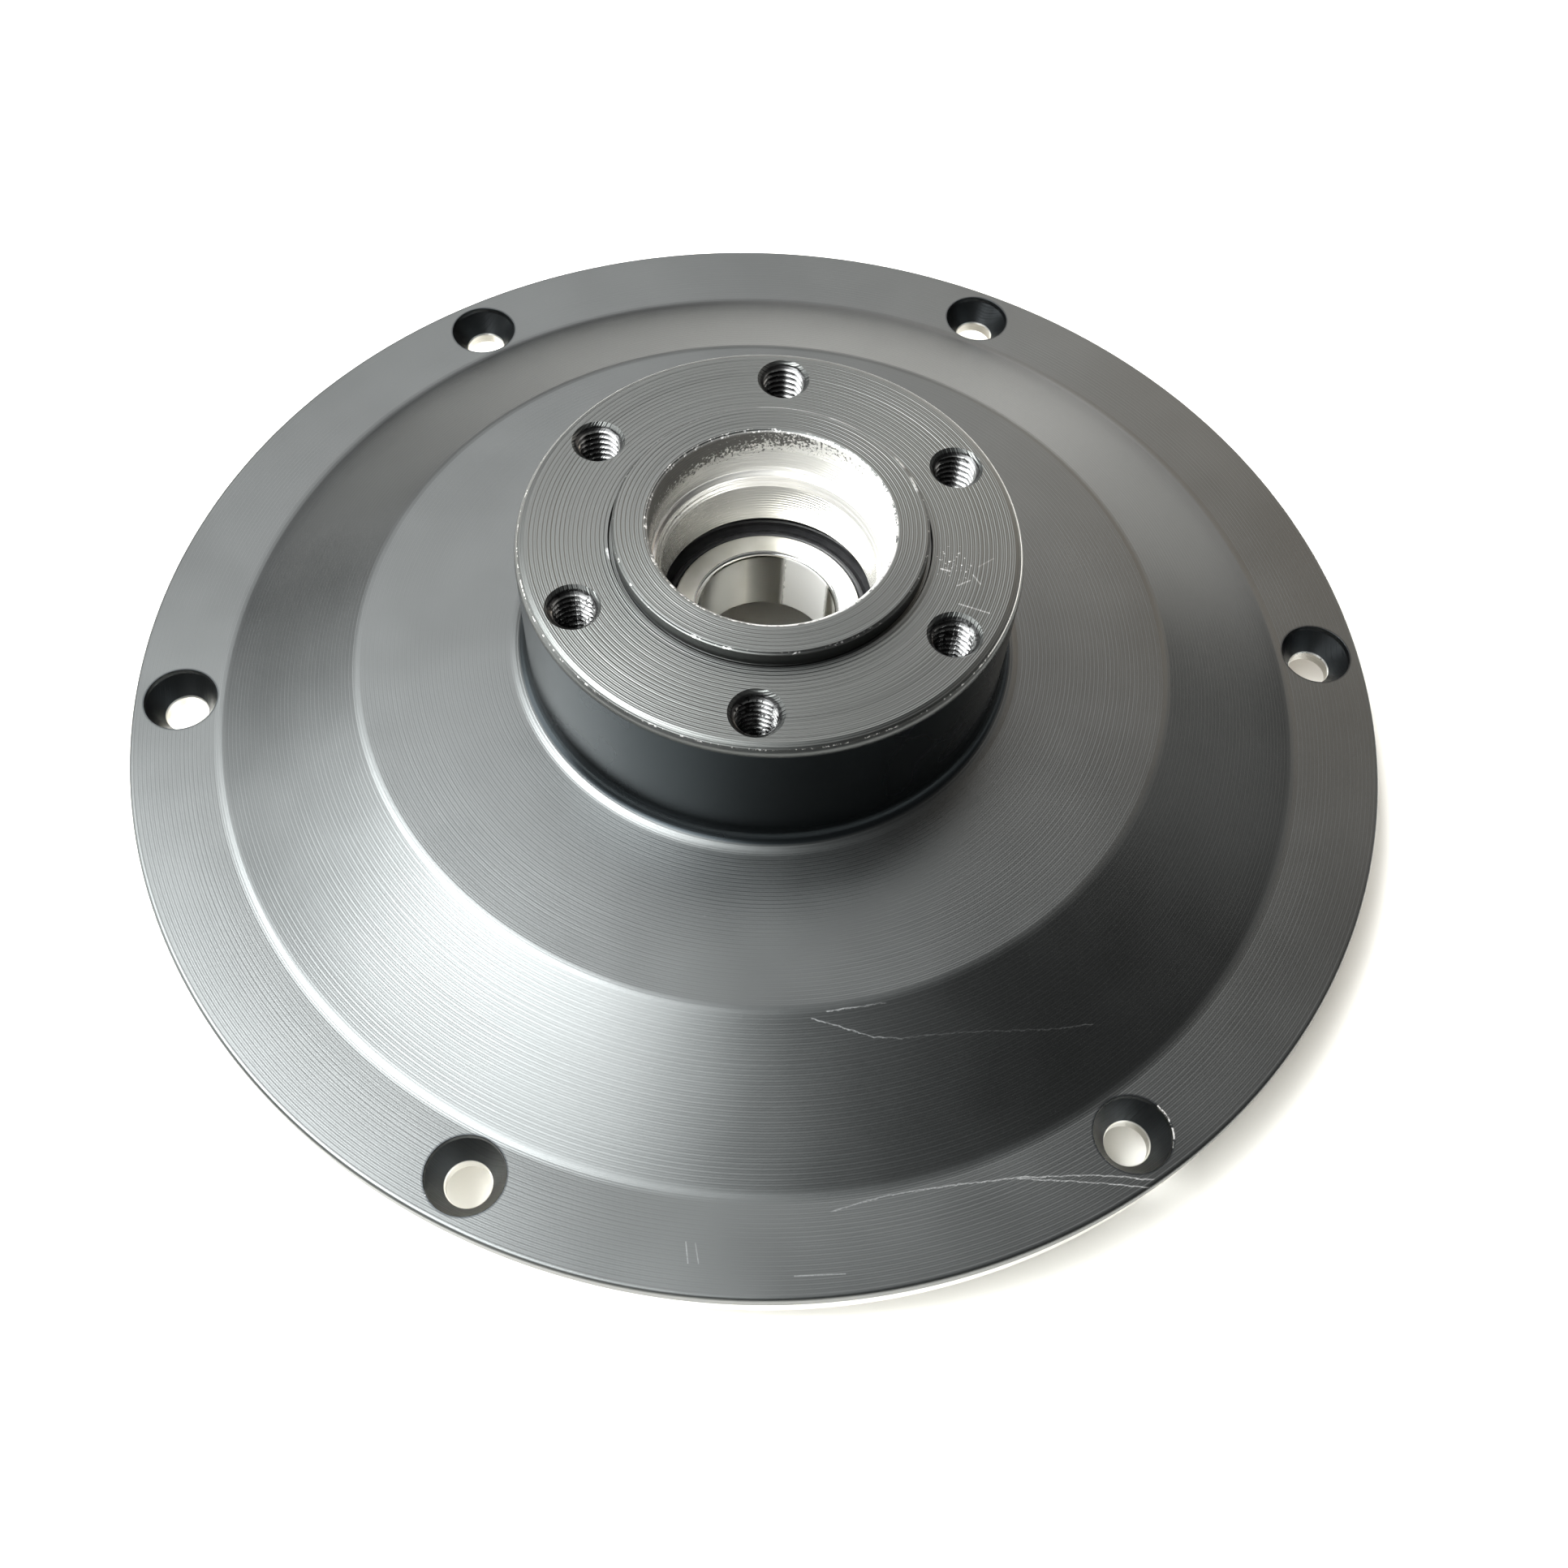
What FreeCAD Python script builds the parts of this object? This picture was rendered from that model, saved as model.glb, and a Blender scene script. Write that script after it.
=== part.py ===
import FreeCAD, Part
import math
import os
import Sketcher
from FreeCAD import Placement, Rotation, Vector

# Hub motor side cover with its pressed-in wheel bearing.
# Frame: +Z is the wheel axis and points out of the boss, z = 0 is the foot of the register lip,
# and one rim screw hole lies on +X.

doc = FreeCAD.newDocument("hub_motor_side_cover")

# Driving dimensions in millimetres and degrees
sizes = {
    "rim_diameter": 142.4,
    "rim_thickness": 4.3,
    "rim_corner_radius": 0.4,
    "bare_band_height": 2.6,
    "bare_band_inset": 0.15,
    "rim_seat_width": 9.2,
    "lip_thickness": 3.2,
    "lip_height": 6.0,
    "lip_chamfer": 0.5,
    "rim_face_width": 9.8,
    "steep_cone_inner_diameter": 90.2,
    "steep_cone_rise": 7.75,
    "cone_blend_radius": 3.0,
    "shallow_cone_rise": 0.65,
    "web_thickness": 4.3,
    "under_knee_diameter": 86.2,
    "under_step_height": 0.6,
    "boss_diameter": 52.6,
    "boss_height": 17.0,
    "boss_edge_radius": 1.2,
    "boss_foot_radius": 2.2,
    "spigot_diameter": 32.6,
    "spigot_height": 1.8,
    "spigot_chamfer": 0.3,
    "spigot_groove_width": 0.4,
    "spigot_groove_depth": 0.4,
    "spigot_groove_undercut": 0.3,
    "counterbore_diameter": 25.2,
    "counterbore_depth": 6.2,
    "counterbore_chamfer": 0.3,
    "counterbore_floor_radius": 0.4,
    "step_diameter": 23.9,
    "step_chamfer_height": 1.1,
    "shaft_bore_diameter": 22.8,
    "bearing_face_depth": 14.3,
    "relief_diameter": 28.8,
    "relief_depth": 1.6,
    "housing_diameter": 41.0,
    "housing_overhang": 1.0,
    "housing_entry_chamfer": 0.5,
    "rim_hole_edge_distance": 5.2,
    "rim_hole_count": 6,
    "rim_hole_diameter": 4.6,
    "rim_hole_mouth": 8.0,
    "rim_hole_land": 0.6,
    "rim_hole_cone_depth": 2.4,
    "rotor_hole_circle": 44.0,
    "rotor_hole_count": 6,
    "rotor_hole_angle": 22.2,
    "rotor_hole_core": 4.2,
    "rotor_hole_mouth": 5.7,
    "rotor_hole_chamfer_depth": 0.75,
    "rotor_hole_depth": 13.0,
    "rotor_hole_point": 1.2,
    "cut_margin": 1.0,
    "bearing_bore": 15.0,
    "bearing_outer_diameter": 32.0,
    "bearing_width": 9.0,
    "bearing_corner": 0.4,
    "bearing_bore_corner": 0.5,
    "inner_shoulder_below_balls": 1.5,
    "outer_land_above_balls": 1.55,
    "seal_recess_width": 0.9,
    "seal_recess_depth": 1.2,
    "ball_diameter": 4.762,
    "ball_count": 9,
    "race_radius": 2.48,
    "race_clearance": 0.03,
    "cage_inner_clearance": 0.45,
    "cage_outer_clearance": 0.5,
    "cage_thickness": 0.4,
    "cage_pocket_clearance": 0.08,
    "rivet_diameter": 0.8,
    "rivet_head_diameter": 1.5,
    "rivet_head_height": 0.25,
    "seal_thickness": 0.8,
    "seal_set_back": 0.3,
    "seal_lip_clearance": 0.06,
    "seal_bead_width": 0.5,
    "seal_bead_height": 0.15,
    "seal_bead_offset": 0.25,
}

sheet = doc.addObject("Spreadsheet::Sheet", "Dimensions")
for row, (name, value) in enumerate(sizes.items(), start=1):
    sheet.set("A%d" % row, name)
    sheet.set("B%d" % row, str(value))
    sheet.setAlias("B%d" % row, name)
doc.recompute()


class Size:
    """A length with its number and the sheet formula that drives it."""

    def __init__(self, value, text):
        self.value = value
        self.text = text

    def joined(self, other, sign, value):
        if isinstance(other, Size):
            return Size(value, "(%s %s %s)" % (self.text, sign, other.text))
        return Size(value, "(%s %s %s)" % (self.text, sign, other))

    def __add__(self, other):
        return self.joined(other, "+", self.value + getattr(other, "value", other))

    def __sub__(self, other):
        return self.joined(other, "-", self.value - getattr(other, "value", other))

    def __mul__(self, other):
        return self.joined(other, "*", self.value * getattr(other, "value", other))

    def __truediv__(self, other):
        return self.joined(other, "/", self.value / getattr(other, "value", other))


def size(name):
    return Size(float(sizes[name]), "Dimensions." + name)


def radius(name):
    return size(name) / 2


def bind(feature, values):
    for prop, length in values.items():
        feature.setExpression(prop, length.text)


# Heights of the cover, from the foot of the lip upward
foot = Size(0.0, "0")
rim_bottom = size("lip_height")
band_top = rim_bottom + size("bare_band_height")
rim_top = rim_bottom + size("rim_thickness")
knee_top = rim_top + size("steep_cone_rise")
boss_foot = knee_top + size("shallow_cone_rise")
boss_top = boss_foot + size("boss_height")
spigot_top = boss_top + size("spigot_height")
groove_floor = boss_top - size("spigot_groove_depth")
counterbore_floor = spigot_top - size("counterbore_depth")
bore_top = counterbore_floor - size("step_chamfer_height")
bearing_top = spigot_top - size("bearing_face_depth")
bearing_bottom = bearing_top - size("bearing_width")
bearing_middle = bearing_top - size("bearing_width") / 2
bore_bottom = bearing_top + size("relief_depth")
housing_bottom = bearing_bottom - size("housing_overhang")
web_bottom = boss_foot - size("web_thickness")
knee_bottom = knee_top - size("web_thickness")
under_step = rim_bottom + size("under_step_height")


def new_body(name):
    body = doc.addObject("PartDesign::Body", name)
    body.Label = name
    body.Placement = Placement(Vector(0, 0, 0), Rotation())
    return body


def origin_plane(body, role):
    return [item for item in body.Origin.OriginFeatures if item.Role == role][0]


def pin_point(sketch, line, end, corner, label):
    """Hold one end of a sketch line at a corner given by two sheet sizes."""
    for kind, length in zip(("X", "Y"), corner):
        if length.value == 0.0:
            axis = -2 if kind == "X" else -1
            sketch.addConstraint(Sketcher.Constraint("PointOnObject", line, end, axis))
            continue
        held = Sketcher.Constraint("Distance" + kind, -1, 1, line, end, length.value)
        index = sketch.addConstraint(held)
        sketch.renameConstraint(index, label + kind.lower())
        sketch.setExpression("Constraints.%s%s" % (label, kind.lower()), length.text)


def section_sketch(body, name, corners, turn=None, axis=None):
    """Closed outline in the plane of radius and height, turned about +Z when an angle is given."""
    sketch = body.newObject("Sketcher::SketchObject", name)
    sketch.AttachmentSupport = [(origin_plane(body, "XZ_Plane"), "")]
    sketch.MapMode = "FlatFace"
    if turn is not None:
        sketch.AttachmentOffset = Placement(Vector(0, 0, 0), Rotation(Vector(0, 1, 0), turn.value))
        sketch.setExpression(".AttachmentOffset.Rotation.Angle", turn.text)
    points = [Vector(across.value, up.value, 0) for across, up in corners]
    count = len(points)
    lines = [Part.LineSegment(points[i], points[(i + 1) % count]) for i in range(count)]
    sketch.addGeometry(lines, False)
    for i in range(count):
        sketch.addConstraint(Sketcher.Constraint("Coincident", i, 2, (i + 1) % count, 1))
        pin_point(sketch, i, 1, corners[i], "corner%d" % (i + 1))
    if axis is not None:
        low, high = axis
        ends = [Vector(across.value, up.value, 0) for across, up in (low, high)]
        index = sketch.addGeometry(Part.LineSegment(*ends), True)
        pin_point(sketch, index, 1, low, "axislow")
        pin_point(sketch, index, 2, high, "axishigh")
    return sketch


def turned(body, name, corners, cut=False):
    """Revolve a section about the wheel axis, to add material or to cut it."""
    sketch = section_sketch(body, name + "_section", corners)
    kind = "PartDesign::Groove" if cut else "PartDesign::Revolution"
    feature = body.newObject(kind, name)
    feature.Profile = sketch
    feature.ReferenceAxis = (sketch, ["V_Axis"])
    feature.Angle = 360
    return feature


def race_groove(body, name, circle_radius):
    """Cut the round ball track of a bearing ring."""
    sketch = body.newObject("Sketcher::SketchObject", name + "_section")
    sketch.AttachmentSupport = [(origin_plane(body, "XZ_Plane"), "")]
    sketch.MapMode = "FlatFace"
    centre = Vector(circle_radius.value, bearing_middle.value, 0)
    race = size("race_radius")
    sketch.addGeometry(Part.Circle(centre, Vector(0, 0, 1), race.value), False)
    pin_point(sketch, 0, 3, (circle_radius, bearing_middle), "centre")
    index = sketch.addConstraint(Sketcher.Constraint("Radius", 0, race.value))
    sketch.renameConstraint(index, "race")
    sketch.setExpression("Constraints.race", race.text)
    feature = body.newObject("PartDesign::Groove", name)
    feature.Profile = sketch
    feature.ReferenceAxis = (sketch, ["V_Axis"])
    feature.Angle = 360
    return feature


def drilled_ring(body, name, corners, axis, turn, count):
    """Cut one round hole from its half section and repeat it round the wheel axis."""
    sketch = section_sketch(body, name + "_section", corners, turn, axis)
    hole = body.newObject("PartDesign::Groove", name)
    hole.Profile = sketch
    hole.ReferenceAxis = (sketch, ["Axis0"])
    hole.Angle = 360
    return ring_of(body, name + "_ring", hole, count)


def ring_of(body, name, feature, count):
    """Repeat a feature evenly round the wheel axis."""
    pattern = body.newObject("PartDesign::PolarPattern", name)
    pattern.Originals = [feature]
    pattern.Axis = (origin_axis(body), [""])
    pattern.Angle = 360
    pattern.Occurrences = int(count.value)
    pattern.setExpression("Occurrences", count.text)
    body.Tip = pattern
    return pattern


def origin_axis(body):
    return [item for item in body.Origin.OriginFeatures if item.Role == "Z_Axis"][0]


def circle_edges(shape, places):
    """Names of the full round edges that lie at the given radii and heights."""
    names = []
    for index, edge in enumerate(shape.Edges, start=1):
        if not isinstance(edge.Curve, Part.Circle):
            continue
        centre = edge.Curve.Center
        if math.hypot(centre.x, centre.y) > 1e-5:
            continue
        for across, up in places:
            if abs(edge.Curve.Radius - across.value) < 1e-4 and abs(centre.z - up.value) < 1e-4:
                names.append("Edge%d" % index)
    return names


def dress(body, name, kind, length, places):
    """Round or chamfer the full round edges found at the given places."""
    doc.recompute()
    base = body.Tip
    feature = body.newObject("PartDesign::" + kind, name)
    feature.Base = (base, circle_edges(base.Shape, places))
    if kind == "Fillet":
        bind(feature, {"Radius": length})
    else:
        bind(feature, {"Size": length})
    body.Tip = feature
    return feature


# Side cover: one aluminium turning with a register lip, screw rim, two cones, boss and spigot
cover = new_body("side_cover")
rim_outer = radius("rim_diameter")
band_outer = rim_outer - size("bare_band_inset")
lip_outer = rim_outer - size("rim_seat_width")
lip_inner = lip_outer - size("lip_thickness")
steep_outer = rim_outer - size("rim_face_width")
steep_inner = radius("steep_cone_inner_diameter")
boss_outer = radius("boss_diameter")
spigot_outer = radius("spigot_diameter")
groove_outer = spigot_outer + size("spigot_groove_width")
groove_neck = spigot_outer - size("spigot_groove_undercut")
counterbore = radius("counterbore_diameter")
step_edge = radius("step_diameter")
shaft_bore = radius("shaft_bore_diameter")
relief = radius("relief_diameter")
seat = radius("bearing_outer_diameter")
housing = radius("housing_diameter")
under_knee = radius("under_knee_diameter")
turned(cover, "cover_turning", [
    (lip_outer, foot),
    (lip_outer, rim_bottom),
    (band_outer, rim_bottom),
    (band_outer, band_top),
    (rim_outer, band_top),
    (rim_outer, rim_top),
    (steep_outer, rim_top),
    (steep_inner, knee_top),
    (boss_outer, boss_foot),
    (boss_outer, boss_top),
    (groove_outer, boss_top),
    (groove_outer, groove_floor),
    (groove_neck, groove_floor),
    (groove_neck, boss_top),
    (spigot_outer, boss_top),
    (spigot_outer, spigot_top),
    (counterbore, spigot_top),
    (counterbore, counterbore_floor),
    (step_edge, counterbore_floor),
    (shaft_bore, bore_top),
    (shaft_bore, bore_bottom),
    (relief, bearing_top),
    (seat, bearing_top),
    (seat, housing_bottom),
    (housing, housing_bottom),
    (housing, web_bottom),
    (under_knee, knee_bottom),
    (lip_inner, under_step),
    (lip_inner, foot),
])
dress(cover, "cone_blends", "Fillet", size("cone_blend_radius"),
      [(steep_outer, rim_top), (steep_inner, knee_top)])
dress(cover, "boss_foot_blend", "Fillet", size("boss_foot_radius"), [(boss_outer, boss_foot)])
dress(cover, "boss_edge_round", "Fillet", size("boss_edge_radius"), [(boss_outer, boss_top)])
dress(cover, "rim_corner_round", "Fillet", size("rim_corner_radius"), [(rim_outer, rim_top)])
dress(cover, "counterbore_floor_round", "Fillet", size("counterbore_floor_radius"),
      [(counterbore, counterbore_floor)])
dress(cover, "spigot_edge_chamfer", "Chamfer", size("spigot_chamfer"),
      [(spigot_outer, spigot_top)])
dress(cover, "counterbore_edge_chamfer", "Chamfer", size("counterbore_chamfer"),
      [(counterbore, spigot_top)])
dress(cover, "housing_entry_bevel", "Chamfer", size("housing_entry_chamfer"),
      [(seat, housing_bottom)])
dress(cover, "lip_bevels", "Chamfer", size("lip_chamfer"), [(lip_outer, foot), (lip_inner, foot)])

# Six countersunk screw holes through the rim
margin = size("cut_margin")
rim_axis = rim_outer - size("rim_hole_edge_distance")
rim_mouth = rim_axis + radius("rim_hole_mouth")
rim_wall = rim_axis + radius("rim_hole_diameter")
land_bottom = rim_top - size("rim_hole_land")
cone_bottom = land_bottom - size("rim_hole_cone_depth")
drilled_ring(cover, "rim_screw_hole", [
    (rim_axis, rim_bottom - margin),
    (rim_wall, rim_bottom - margin),
    (rim_wall, cone_bottom),
    (rim_mouth, land_bottom),
    (rim_mouth, rim_top + margin),
    (rim_axis, rim_top + margin),
], ((rim_axis, rim_bottom), (rim_axis, rim_top)), None, size("rim_hole_count"))

# Six blind tapped holes for the brake rotor, at the core size of the thread
rotor_axis = radius("rotor_hole_circle")
rotor_core = rotor_axis + radius("rotor_hole_core")
rotor_mouth = rotor_axis + radius("rotor_hole_mouth")
drill_end = boss_top - size("rotor_hole_depth")
drilled_ring(cover, "rotor_screw_hole", [
    (rotor_axis, drill_end - size("rotor_hole_point")),
    (rotor_core, drill_end),
    (rotor_core, boss_top - size("rotor_hole_chamfer_depth")),
    (rotor_mouth, boss_top),
    (rotor_mouth, boss_top + margin),
    (rotor_axis, boss_top + margin),
], ((rotor_axis, drill_end), (rotor_axis, boss_top)), size("rotor_hole_angle"),
    size("rotor_hole_count"))

# Bearing outer ring, pressed into the housing from below against the shoulder
outer_ring = new_body("bearing_outer_ring")
ring_bore = radius("bearing_bore")
ball_ring = (ring_bore + seat) / 2
land = ball_ring + size("outer_land_above_balls")
recess = land + size("seal_recess_width")
recess_top = bearing_top - size("seal_recess_depth")
recess_bottom = bearing_bottom + size("seal_recess_depth")
turned(outer_ring, "outer_ring_turning", [
    (seat, bearing_bottom),
    (seat, bearing_top),
    (recess, bearing_top),
    (recess, recess_top),
    (land, recess_top),
    (land, recess_bottom),
    (recess, recess_bottom),
    (recess, bearing_bottom),
])
dress(outer_ring, "outer_ring_corners", "Fillet", size("bearing_corner"),
      [(seat, bearing_bottom), (seat, bearing_top)])
outer_race_circle = ball_ring + radius("ball_diameter")
race_groove(outer_ring, "outer_race", outer_race_circle + size("race_clearance") - size("race_radius"))

# Bearing inner ring, free to turn on the balls
inner_ring = new_body("bearing_inner_ring")
shoulder = ball_ring - size("inner_shoulder_below_balls")
turned(inner_ring, "inner_ring_turning", [
    (ring_bore, bearing_bottom),
    (shoulder, bearing_bottom),
    (shoulder, bearing_top),
    (ring_bore, bearing_top),
])
dress(inner_ring, "inner_ring_bore_corners", "Fillet", size("bearing_bore_corner"),
      [(ring_bore, bearing_bottom), (ring_bore, bearing_top)])
inner_race_circle = ball_ring - radius("ball_diameter")
race_groove(inner_ring, "inner_race", inner_race_circle - size("race_clearance") + size("race_radius"))

# Nine steel balls on the ball circle
ball_count = sizes["ball_count"]
for number in range(ball_count):
    ball = doc.addObject("Part::Sphere", "ball_%02d" % (number + 1))
    ball.Label = "ball_%02d" % (number + 1)
    angle = "(%d * 360 deg / Dimensions.ball_count)" % number
    bind(ball, {
        "Radius": radius("ball_diameter"),
        ".Placement.Base.x": ball_ring * Size(1.0, "cos" + angle),
        ".Placement.Base.y": ball_ring * Size(1.0, "sin" + angle),
        ".Placement.Base.z": bearing_middle,
    })

# Ribbon cage: two pressed halves with round ball pockets, riveted between the balls
cage_inner = shoulder + size("cage_inner_clearance")
cage_outer = land - size("cage_outer_clearance")
pocket_inside = radius("ball_diameter") + size("cage_pocket_clearance")
pocket_outside = pocket_inside + size("cage_thickness")
half_step = Size(180.0 / ball_count, "(180 / Dimensions.ball_count)")
for name, side in (("cage_half_upper", 1), ("cage_half_lower", -1)):
    half = new_body(name)
    strip_far = bearing_middle + size("cage_thickness") * side
    reach = bearing_middle + (pocket_outside + margin) * side
    beyond = bearing_middle - (pocket_outside + margin) * side
    turned(half, name + "_strip", [
        (cage_inner, bearing_middle),
        (cage_outer, bearing_middle),
        (cage_outer, strip_far),
        (cage_inner, strip_far),
    ])
    for step, kind, length in (("dome", "Additive", pocket_outside),
                               ("pocket", "Subtractive", pocket_inside)):
        sphere = half.newObject("PartDesign::%sSphere" % kind, "%s_%s" % (name, step))
        bind(sphere, {
            "Radius": length,
            ".Placement.Base.x": ball_ring,
            ".Placement.Base.z": bearing_middle,
        })
        ring_of(half, "%s_%ss" % (name, step), sphere, size("ball_count"))
    turned(half, name + "_inner_trim", [
        (ball_ring - pocket_outside - margin, beyond),
        (cage_inner, beyond),
        (cage_inner, reach),
        (ball_ring - pocket_outside - margin, reach),
    ], cut=True)
    turned(half, name + "_outer_trim", [
        (cage_outer, beyond),
        (ball_ring + pocket_outside + margin, beyond),
        (ball_ring + pocket_outside + margin, reach),
        (cage_outer, reach),
    ], cut=True)
    turned(half, name + "_face_trim", [
        (cage_inner - margin / 2, bearing_middle),
        (cage_outer + margin / 2, bearing_middle),
        (cage_outer + margin / 2, beyond),
        (cage_inner - margin / 2, beyond),
    ], cut=True)
    rivet_wall = ball_ring + radius("rivet_diameter")
    drilled_ring(half, name + "_rivet_hole", [
        (ball_ring, beyond),
        (rivet_wall, beyond),
        (rivet_wall, reach),
        (ball_ring, reach),
    ], ((ball_ring, bearing_middle), (ball_ring, reach)), half_step, size("ball_count"))

# Nine round-headed rivets that join the two cage halves
rivets = new_body("cage_rivets")
rivets.AllowCompound = True
head = ball_ring + radius("rivet_head_diameter")
strip_top = bearing_middle + size("cage_thickness")
strip_bottom = bearing_middle - size("cage_thickness")
head_top = strip_top + size("rivet_head_height")
head_bottom = strip_bottom - size("rivet_head_height")
rivet_sketch = section_sketch(rivets, "rivet_section", [
    (ball_ring, head_bottom),
    (head, head_bottom),
    (head, strip_bottom),
    (rivet_wall, strip_bottom),
    (rivet_wall, strip_top),
    (head, strip_top),
    (head, head_top),
    (ball_ring, head_top),
], half_step, ((ball_ring, head_bottom), (ball_ring, head_top)))
rivet = rivets.newObject("PartDesign::Revolution", "rivet")
rivet.Profile = rivet_sketch
rivet.ReferenceAxis = (rivet_sketch, ["Axis0"])
rivet.Angle = 360
ring_of(rivets, "rivet_ring", rivet, size("ball_count"))

# Two rubber seals, snapped into the outer ring, with a raised bead by the inner ring
lip_edge = shoulder + size("seal_lip_clearance")
bead_inner = lip_edge + size("seal_bead_offset")
bead_outer = bead_inner + size("seal_bead_width")
for name, face, side in (("seal_upper", bearing_top, 1), ("seal_lower", bearing_bottom, -1)):
    seal = new_body(name)
    outside = face - size("seal_set_back") * side
    inside = outside - size("seal_thickness") * side
    bead = outside + size("seal_bead_height") * side
    turned(seal, name + "_moulding", [
        (lip_edge, inside),
        (recess, inside),
        (recess, outside),
        (bead_outer, outside),
        (bead_outer - size("seal_bead_height"), bead),
        (bead_inner, bead),
        (lip_edge, outside),
    ])

doc.recompute()

# Check every object, then write one file for each piece
for item in doc.Objects:
    if "Invalid" in item.State or "Error" in item.State:
        raise RuntimeError("object not valid: " + item.Label)

pieces = [item for item in doc.Objects if item.TypeId in ("PartDesign::Body", "Part::Sphere")]
os.makedirs("parts", exist_ok=True)
for piece in pieces:
    shape = piece.Shape
    if shape.isNull() or not shape.isValid() or not shape.Solids:
        raise RuntimeError("shape not valid: " + piece.Label)
    shape.exportStep("parts/%s.step" % piece.Label)
    print(piece.Label, "solids", len(shape.Solids), "volume", round(shape.Volume, 2))
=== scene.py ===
import math

import bmesh
import bpy
import numpy as np
from mathutils import Matrix, Vector


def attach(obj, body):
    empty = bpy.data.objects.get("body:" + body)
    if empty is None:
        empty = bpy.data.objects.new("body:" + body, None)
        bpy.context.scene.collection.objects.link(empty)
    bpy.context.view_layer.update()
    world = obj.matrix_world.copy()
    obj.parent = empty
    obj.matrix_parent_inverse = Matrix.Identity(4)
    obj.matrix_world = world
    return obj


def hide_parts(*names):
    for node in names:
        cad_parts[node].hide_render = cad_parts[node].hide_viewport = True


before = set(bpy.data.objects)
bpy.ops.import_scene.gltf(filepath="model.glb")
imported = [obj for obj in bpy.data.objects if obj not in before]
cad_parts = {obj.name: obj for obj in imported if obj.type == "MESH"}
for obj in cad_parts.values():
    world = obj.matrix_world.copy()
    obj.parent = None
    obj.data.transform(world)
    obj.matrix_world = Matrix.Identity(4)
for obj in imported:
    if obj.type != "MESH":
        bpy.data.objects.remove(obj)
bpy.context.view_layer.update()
scene = bpy.context.scene

# Camera: a phone held over the front of the cover, looking down 59 degrees from a little left of the middle.
# The lens is the phone's, in pixels for the square photo, so the picture has the photo's perspective.
PHOTO_WIDTH, FOCAL = 1932, 2030.0
LOOK_TURN = math.radians(-8.45)
LOOK_DOWN = math.radians(58.92)
LOOK_ROLL = math.radians(4.69)
LOOK_FAR = 0.1837
aim = Matrix.Rotation(LOOK_TURN, 3, "Z") @ Vector((0.00344, -0.01437, 0)) + Vector((0, 0, 0.0103))
back = Matrix.Rotation(LOOK_TURN, 3, "Z") @ Vector((0, -math.cos(LOOK_DOWN), math.sin(LOOK_DOWN)))
level = Matrix.Rotation(LOOK_TURN, 3, "Z") @ Vector((1, 0, 0))
right = math.cos(LOOK_ROLL) * level + math.sin(LOOK_ROLL) * back.cross(level)
upward = back.cross(right)
lens = bpy.data.cameras.new("photo_camera")
lens.sensor_width = 36
lens.lens = lens.sensor_width * FOCAL / PHOTO_WIDTH
lens.clip_start = 0.01
camera = bpy.data.objects.new("photo_camera", lens)
camera.matrix_world = Matrix.Translation(aim + LOOK_FAR * back) @ Matrix((right, upward, back)).transposed().to_4x4()
scene.collection.objects.link(camera)
scene.camera = camera


# Table and light: a white table under soft panels, the strongest of them high on the left side.
# The table is overexposed to plain white, as in the photo, and darkens only in the cover's own shadow.
class Sock:
    """A shader socket that takes part in plain sums."""

    tree = None

    def __init__(self, socket):
        self.socket = socket

    @classmethod
    def node(cls, kind, ins=(), outs=0, ramp=None, **settings):
        """A new node with its inputs set or linked; gives the chosen output, or the node itself for outs=None."""
        made = cls.tree.nodes.new(kind)
        for key, value in settings.items():
            setattr(made, key, value)
        if ramp:
            band = made.color_ramp
            while len(band.elements) < len(ramp):
                band.elements.new(0.5)
            for stop, (place, shade) in zip(band.elements, ramp):
                stop.position = place
                stop.color = shade
        for key, value in (ins.items() if isinstance(ins, dict) else enumerate(ins)):
            if isinstance(value, Sock):
                cls.tree.links.new(value.socket, made.inputs[key])
            elif value is not None:
                made.inputs[key].default_value = value
        return cls(made.outputs[outs]) if outs is not None else made

    def sum(self, operation, *others):
        """This value and the others through one math operation."""
        return Sock.node("ShaderNodeMath", (self,) + others, operation=operation)

    def __add__(self, other):
        return self.sum("ADD", other)

    def __sub__(self, other):
        return self.sum("SUBTRACT", other)

    def __mul__(self, other):
        return self.sum("MULTIPLY", other)

    __radd__ = __add__
    __rmul__ = __mul__

    def __rsub__(self, other):
        return Sock.node("ShaderNodeMath", (other, self), operation="SUBTRACT")

    def between(self, low, high, first=0.0, last=1.0):
        """Rises smoothly from first to last while this value goes from low to high."""
        ins = {"Value": self, "From Min": low, "From Max": high, "To Min": first, "To Max": last}
        return Sock.node("ShaderNodeMapRange", ins, interpolation_type="SMOOTHSTEP")

    def near(self, place, width):
        """One at a place, fading to nothing a width away."""
        return (self - place).sum("ABSOLUTE").between(0, width, 1, 0)

    def mix(self, plain, other):
        """The plain colour where this mask is 0, the other where it is 1."""
        first, second = (c if isinstance(c, Sock) else c + (1,) for c in (plain, other))
        return Sock.node("ShaderNodeMix", {0: self, 6: first, 7: second}, outs=2, data_type="RGBA")


def new_finish(name):
    """An empty material with its Principled shader."""
    made = bpy.data.materials.new(name)
    made.use_nodes = True
    Sock.tree = made.node_tree
    return made, made.node_tree.nodes["Principled BSDF"]


def feed(shader, name, value):
    """Sets a shader input to a value, or links a socket to it."""
    if isinstance(value, Sock):
        Sock.tree.links.new(value.socket, shader.inputs[name])
    else:
        shader.inputs[name].default_value = value


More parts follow.
